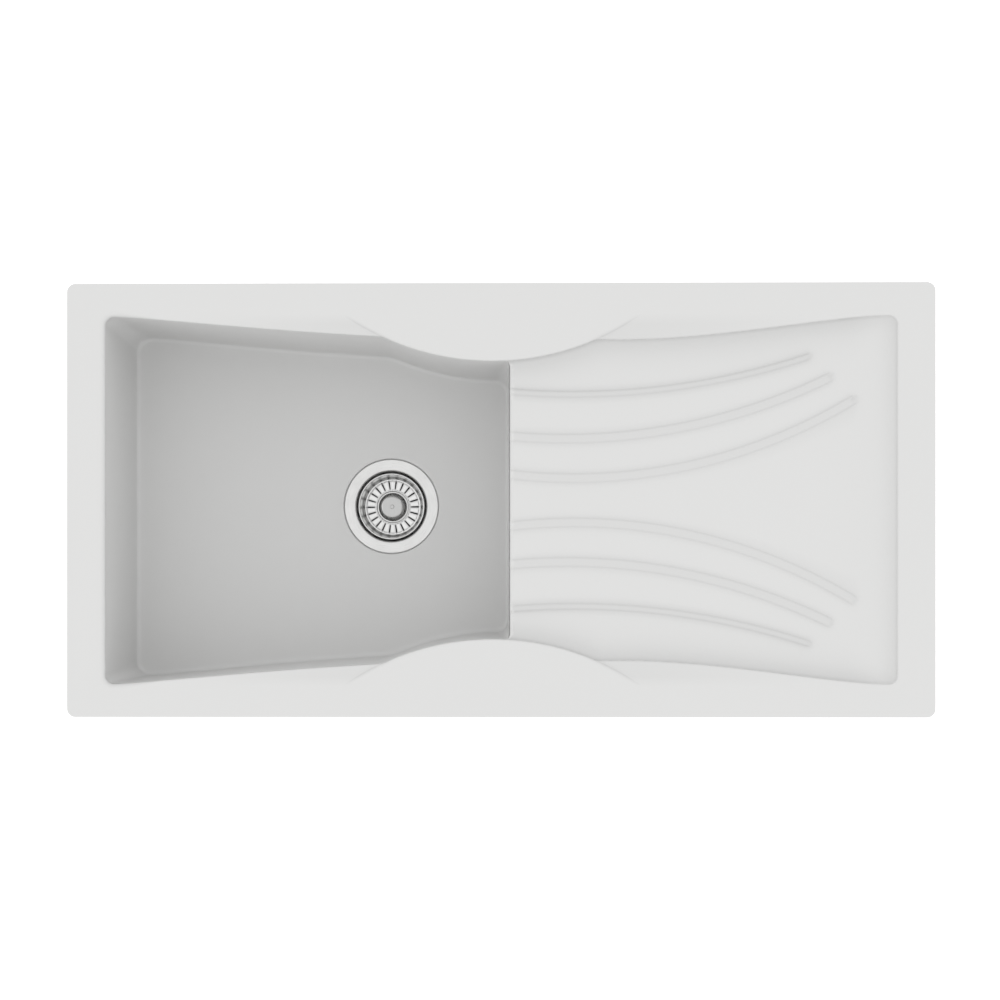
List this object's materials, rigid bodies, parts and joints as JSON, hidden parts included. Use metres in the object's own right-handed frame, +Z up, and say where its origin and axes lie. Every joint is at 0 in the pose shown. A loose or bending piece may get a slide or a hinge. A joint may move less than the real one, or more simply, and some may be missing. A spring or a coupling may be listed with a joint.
{
  "type": "kitchen sink with drainboard",
  "caption": "White composite inset kitchen sink: a deep bowl with a lift-out basket strainer waste, a ribbed drainboard and wave-shaped sides between two tap decks.",
  "frame": {"origin": "middle of the rim on the worktop's plane, which is the rim's underside", "axes": "+Z up, out of the worktop; +X along the sink from the bowl to the drainboard; +Y to the back of the worktop"},
  "size_m": [1, 0.5, 0.2875],
  "materials": {
    "white_composite": "moulded mineral composite, matte with a very fine speckle",
    "grey_foam": "closed-cell sealing foam",
    "brushed_steel": "pressed stainless steel, circular brushed",
    "polished_steel": "polished stainless steel",
    "screw_steel": "turned stainless steel",
    "zinc_steel": "zinc-plated steel",
    "black_rubber": "moulded rubber",
    "grey_plastic": "moulded polypropylene, light grey",
    "hose_plastic": "ribbed polyethylene hose, light grey",
    "brass": "turned brass"
  },
  "bodies": {
    "root": {"sink_body": "white_composite", "rim_seal": "grey_foam", "strainer_flange": "brushed_steel", "flange_gasket": "black_rubber", "body_gasket": "black_rubber", "waste_body": "grey_plastic", "waste_outlet": "grey_plastic", "clamp_insert": "brass", "clamp_screw": "screw_steel", "overflow_rose": "brushed_steel", "overflow_screw": "screw_steel", "overflow_gasket": "black_rubber", "overflow_elbow": "grey_plastic", "overflow_insert": "brass", "overflow_hose": "hose_plastic", "hose_nut_upper": "grey_plastic", "hose_nut_lower": "grey_plastic", "clip_anchors": "brass", "clip_screws": "zinc_steel"},
    "basket": {"basket": "polished_steel", "basket_knob": "polished_steel", "basket_stem": "screw_steel", "stopper_seal": "black_rubber", "stopper_washer": "screw_steel"},
    "claw_back_left": {"clip_claw_back_left": "zinc_steel"},
    "claw_back_right": {"clip_claw_back_right": "zinc_steel"},
    "claw_front_left": {"clip_claw_front_left": "zinc_steel"},
    "claw_front_right": {"clip_claw_front_right": "zinc_steel"},
    "claw_left_back": {"clip_claw_left_back": "zinc_steel"},
    "claw_left_front": {"clip_claw_left_front": "zinc_steel"},
    "claw_right_back": {"clip_claw_right_back": "zinc_steel"},
    "claw_right_front": {"clip_claw_right_front": "zinc_steel"}
  },
  "joints": [
    {"name": "basket_lift", "type": "slide", "parent": "root", "child": "basket", "axis": [0, 0, 1], "range_m": [0, 0.25]},
    {"name": "claw_swivel_back_left", "type": "hinge", "parent": "root", "child": "claw_back_left", "pos_m": [-0.25, 0.226, -0.045], "axis": [0, 0, 1], "range_deg": [0, 90]},
    {"name": "claw_swivel_back_right", "type": "hinge", "parent": "root", "child": "claw_back_right", "pos_m": [0.25, 0.226, -0.045], "axis": [0, 0, 1], "range_deg": [0, 90]},
    {"name": "claw_swivel_front_left", "type": "hinge", "parent": "root", "child": "claw_front_left", "pos_m": [-0.25, -0.226, -0.045], "axis": [0, 0, 1], "range_deg": [0, 90]},
    {"name": "claw_swivel_front_right", "type": "hinge", "parent": "root", "child": "claw_front_right", "pos_m": [0.25, -0.226, -0.045], "axis": [0, 0, 1], "range_deg": [0, 90]},
    {"name": "claw_swivel_left_back", "type": "hinge", "parent": "root", "child": "claw_left_back", "pos_m": [-0.476, 0.12, -0.045], "axis": [0, 0, 1], "range_deg": [0, 90]},
    {"name": "claw_swivel_left_front", "type": "hinge", "parent": "root", "child": "claw_left_front", "pos_m": [-0.476, -0.12, -0.045], "axis": [0, 0, 1], "range_deg": [0, 90]},
    {"name": "claw_swivel_right_back", "type": "hinge", "parent": "root", "child": "claw_right_back", "pos_m": [0.476, 0.12, -0.045], "axis": [0, 0, 1], "range_deg": [0, 90]},
    {"name": "claw_swivel_right_front", "type": "hinge", "parent": "root", "child": "claw_right_front", "pos_m": [0.476, -0.12, -0.045], "axis": [0, 0, 1], "range_deg": [0, 90]}
  ]
}
